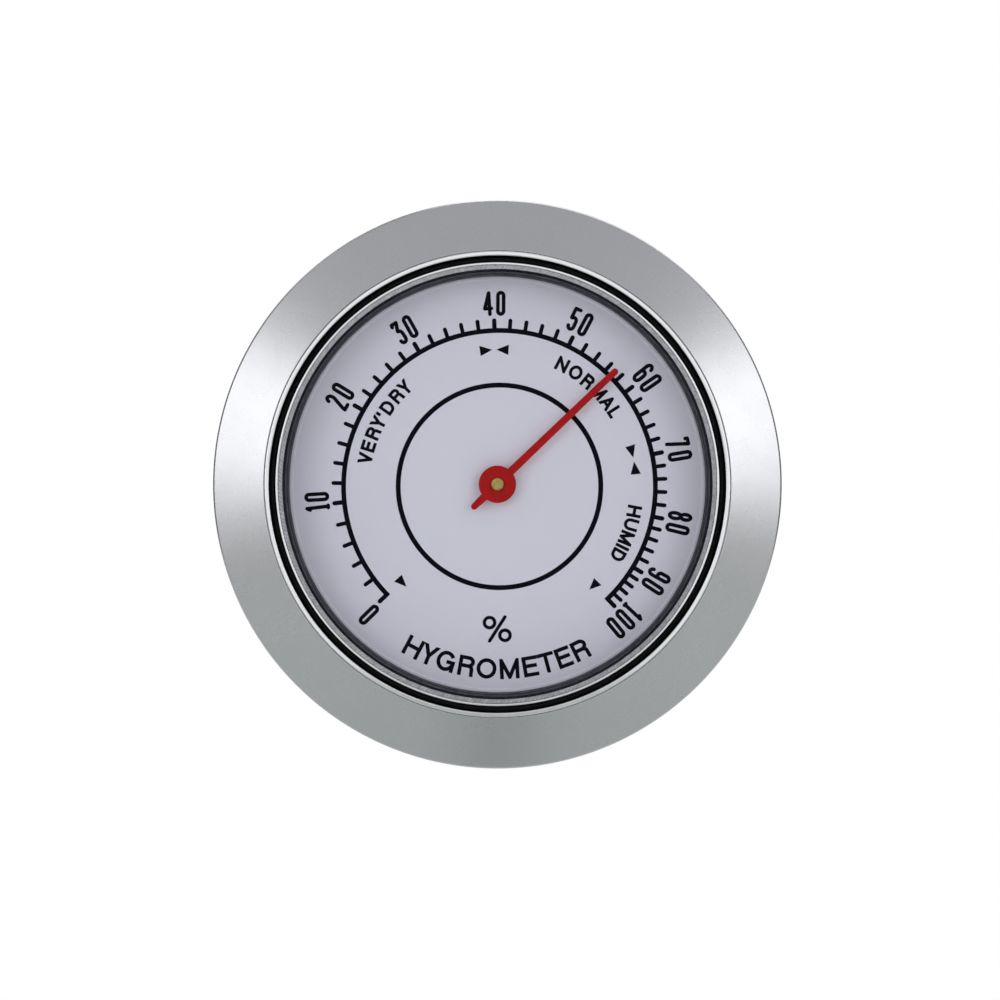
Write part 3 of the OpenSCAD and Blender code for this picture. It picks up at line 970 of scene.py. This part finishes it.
def zone_marks():
    """Small triangles that point at the ends of the zones."""
    radius, half = 14.53, 0.55
    pairs = [(98.2, 93.0), (86.2, 91.3), (17.3, 12.1), (5.1, 10.5), (222.1, 227.2), (-44.1, -49.0)]
    polygons = []
    for base, apex in pairs:
        corners = ((radius + half, base), (radius - half, base), (radius, apex))
        polygons.append([arc(0, 0, r, r, a, a, 1)[0] for r, a in corners])
    printed("print_zone_marks", polygons)


def title():
    """The kind of instrument, and the percent sign above it."""
    word = lettering("HYGROMETER", letters(), 19.38, 2.17, 0.4, span=(239.15, 298.95), outward=False)
    printed("print_title", word)
    line = 0.36
    x, y = arc(0, 0, 15.14, 15.14, 269.1, 269.1, 1)[0]
    slash = [(x - 0.82, y - 1.28), (x + 0.82, y + 1.28)]
    polygons = round_stroke(slash, line)
    for side in (-1, 1):
        loop = corner(x + side * 0.82, y - side * 0.675, 0.55, 0, 350, 35)
        polygons += stroke(loop, line, closed=True)
    printed("print_percent", polygons)


# ---------------------------------------------------------------------------------- pointer and coil


def needle():
    """Hub, needle and tail in one lacquered stamping with soft edges."""
    mesh = frame["nodes"]["pointer"].data
    tip = max((v.co for v in mesh.vertices), key=lambda co: co.x * co.x + co.z * co.z)
    _, back, front = reach("pointer")
    length = math.hypot(tip.x, tip.z) / MM
    angle = math.degrees(math.atan2(tip.z, tip.x))
    hub_r, bore_r, tail, half = 1.98, 0.67, 3.75, 0.35
    waist = math.degrees(math.asin(half / hub_r))
    fillet = 2.2  # degrees of the hub given up to the small fillet beside the needle
    outline = (
        corner(length - half, 0, half, -90, 90, 10)
        + corner(0, 0, hub_r, waist + fillet, 180 - waist - fillet, 48)
        + corner(-tail + half, 0, half, 90, 270, 10)
        + corner(0, 0, hub_r, 180 + waist + fillet, 360 - waist - fillet, 48)
    )
    outlines = [[rotated(p, angle) for p in outline], circle(bore_r, 48)]
    bevel = 0.06
    return smooth_slab(
        "pointer_stamping", outlines, back, front, bevel, BODY_OF["pointer"], SLOT_OF["pointer"], ("pointer",)
    )


def arbor_pin():
    """Arbor with its pivot, thrust collar and chamfered tip."""
    _, back, front = reach("arbor")
    pivot_r, pivot_top = 0.5, -8.85
    shaft_r, collar_r = 0.68, 1.18
    collar_back, collar_top = -5.1, -4.7
    cut = 0.04  # small chamfers
    tip_r = 0.12
    outline = (
        [(0, back), (pivot_r - 0.06, back), (pivot_r, back + 0.06), (pivot_r, pivot_top)]
        + [(shaft_r - cut, pivot_top), (shaft_r, pivot_top + cut), (shaft_r, collar_back)]
        + [(collar_r - cut, collar_back), (collar_r, collar_back + cut), (collar_r, collar_top - cut)]
        + [(collar_r - cut, collar_top), (shaft_r, collar_top)]
        + corner(shaft_r - tip_r, front - tip_r, tip_r, 0, 90, 5)
        + [(0.3, front), (0.1, front - 0.015), (0, front - 0.015)]
    )
    return turned_piece("arbor_pin", outline, "arbor", ROUND)


def coil():
    """The two layers of the moisture-sensitive strip, wound as a spiral: the outer end stays in the post and
    the inner end goes into the collet as a straight tab."""
    turns, per_turn = 5.5, 90
    post_r, start_r, inner_r = 8.9, 1.8, 0.98
    post_angle = 215
    _, back, front = reach("coil_metal")

    def strip(name, node, inside, outside):
        line = []
        first = post_angle - 360 * turns
        tab_parts = 4  # the straight end that goes into the collet
        for k in range(tab_parts):
            line.append((inner_r + (start_r - inner_r) * k / tab_parts, first, True))
        for i in range(int(turns * per_turn) + 3):
            turn = i / per_turn
            line.append((start_r + (post_r - start_r) * turn / turns, first + 360 * turn, False))
        bm = bmesh.new()
        rows, lengths, walked, last = [], [], 0.0, None
        for r, angle, straight in line:
            mid = polar(r, angle)
            walked += (mid - last).length if last is not None else 0.0
            last = mid
            lengths.append(walked)
            row = []
            for out, height in ((inside, back), (outside, back), (outside, front), (inside, front)):
                if straight:
                    a = math.radians(angle)
                    across = place(math.sin(a), -math.cos(a), 0) * out
                    row.append(bm.verts.new(polar(r, angle, height) + across))
                else:
                    row.append(bm.verts.new(polar(r + out, angle, height)))
            rows.append(row)
        for a, b in zip(rows, rows[1:]):
            for k in range(4):
                m = (k + 1) % 4
                bm.faces.new([a[k], a[m], b[m], b[k]])
        bm.faces.new(rows[0])
        bm.faces.new(rows[-1][::-1])
        made = piece(name, bm, None, SLOT_OF[node], (node,))
        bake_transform(made)
        return made

    strip("coil_strip_metal", "coil_metal", -0.14, 0.0)
    strip("coil_strip_film", "coil_paper", 0.0, 0.12)


# ---------------------------------------------------------------------------------- build

for build in (
    bezel_flange, bezel_lip, band, rim, retaining_ring, window, gasket, surround, dial, front_seal, rear_seal,
    can, dust_screen, scale_marks, scale_numbers, zone_words, zone_marks, title, needle, arbor_pin, coil,
):
    build()

for node, shown in frame["nodes"].items():
    if not shown.hide_render:
        shown.data.materials.clear()
        shown.data.materials.append(MATERIALS[SLOT_OF[node]])

# ---------------------------------------------------------------------------------- studio

FACE = place(0, 0, 1.2)
VIEW_DISTANCE = 0.6
FIELD = 0.10545  # width of the picture at the flange, in metres
FLOOR_Z = -0.25


def look_at(made, target):
    """Turns a camera or a light so that it looks at a point."""
    made.rotation_mode = "QUATERNION"
    made.rotation_quaternion = (Vector(target) - made.location).to_track_quat("-Z", "Y")


def camera():
    """Looks straight at the dial, a little off its centre as the picture needs."""
    data = bpy.data.cameras.new("camera")
    made = in_scene("camera", data)
    data.lens = data.sensor_width * VIEW_DISTANCE / FIELD
    data.clip_start, data.clip_end = 0.01, 20
    made.location = FACE + Vector((0.000274, -VIEW_DISTANCE, -0.001666))
    look_at(made, made.location + Vector((0, 1, 0)))
    bpy.context.scene.camera = made


def soft_box(name, off_axis, azimuth, width, height, radiance, distance=1.0):
    """Area light seen from the dial at an angle off its axis and an angle round it. Radiance 1 is the
    brightness of the white backdrop."""
    t, a = math.radians(off_axis), math.radians(azimuth)
    data = bpy.data.lights.new(name, "AREA")
    data.shape = "RECTANGLE"
    data.size, data.size_y = width, height
    data.energy = radiance * math.pi * width * height
    made = in_scene(name, data)
    made.location = Vector((math.sin(t) * math.cos(a), -math.cos(t), math.sin(t) * math.sin(a))) * distance
    look_at(made, (0, 0, 0))
    made.visible_camera = False


def world():
    """White behind the object for the camera; for everything else a room that is darker off the axis."""
    made = bpy.data.worlds.new("studio")
    bpy.context.scene.world = made
    made.use_nodes = True
    tree = made.node_tree
    lit = tree.nodes["Background"]
    lit.inputs["Color"].default_value = (1.09, 1.1, 1.12, 1)
    direction = tree.nodes.new("ShaderNodeSeparateXYZ")
    tree.links.new(tree.nodes.new("ShaderNodeTexCoord").outputs["Generated"], direction.inputs[0])
    along = tree.nodes.new("ShaderNodeMapRange")
    along.inputs[1].default_value = -1
    tree.links.new(direction.outputs["Y"], along.inputs[0])
    fade = tree.nodes.new("ShaderNodeValToRGB")
    stops = ((26, 1.0), (32, 0.55), (50, 0.55), (90, 0.32), (115, 0.18))  # degrees off the axis, brightness
    for k, (off_axis, level) in enumerate(stops):
        at = (1 - math.cos(math.radians(off_axis))) / 2
        stop = fade.color_ramp.elements[k] if k < 2 else fade.color_ramp.elements.new(at)
        stop.position = at
        stop.color = (level, level, level, 1)
    tree.links.new(along.outputs[0], fade.inputs[0])
    tree.links.new(fade.outputs[0], lit.inputs["Strength"])
    seen = tree.nodes.new("ShaderNodeBackground")
    seen.inputs["Color"].default_value = (1, 1, 1, 1)
    mix = tree.nodes.new("ShaderNodeMixShader")
    path = tree.nodes.new("ShaderNodeLightPath")
    tree.links.new(path.outputs["Is Camera Ray"], mix.inputs[0])
    tree.links.new(lit.outputs[0], mix.inputs[1])
    tree.links.new(seen.outputs[0], mix.inputs[2])
    tree.links.new(mix.outputs[0], tree.nodes["World Output"].inputs["Surface"])


def stage_floor():
    """Large sheet of pale paper below the object."""
    bm = bmesh.new()
    bmesh.ops.create_grid(bm, x_segments=8, y_segments=8, size=1.3)
    mesh = bpy.data.meshes.new("floor")
    bm.to_mesh(mesh)
    bm.free()
    made = in_scene("floor", mesh)
    made.location.z = FLOOR_Z
    f = Finish("floor_paper", (0.88, 0.91, 0.895), 0.7)
    f.shade(f.noise(60, 3), 0.3, 0.7, 0.985)
    mesh.materials.append(f.material)


def grey_flag():
    """A small grey card on the floor, which the lowest part of the satin cone mirrors."""
    bm = bmesh.new()
    bmesh.ops.create_grid(bm, x_segments=4, y_segments=4, size=0.042)
    for v in bm.verts:
        v.co.x *= 0.7
    made = piece("grey_flag", bm, None, "dark_surround")
    made.location = (0, -0.32, FLOOR_Z + 0.001)
    made.visible_camera = False


def black_card():
    """The camera's own dark front, which is all that the flat lens mirrors."""
    radius, thick = 60, 2
    bm = bmesh.new()
    lathe(bm, [(0, 0), (radius, 0), (radius, thick), (0, thick)], ROUND)
    made = piece("black_card", bm, None, "black_rubber")
    made.location.y = -VIEW_DISTANCE - 0.03
    made.visible_camera = False


bpy.context.scene.view_settings.view_transform = "Standard"
camera()
world()
stage_floor()
soft_box("right_box", 36.8, 15, 0.26, 0.38, 2.35)
soft_box("left_box", 36.8, 165, 0.26, 0.38, 2.35)
black_card()
grey_flag()
soft_box("top_box", 114, 80, 1.7, 1.7, 1.5, 2.0)
soft_box("back_top", 158, 60, 1.3, 1.3, 1.6, 2.0)
soft_box("back_left", 158, 130, 1.1, 1.3, 1.2, 2.0)
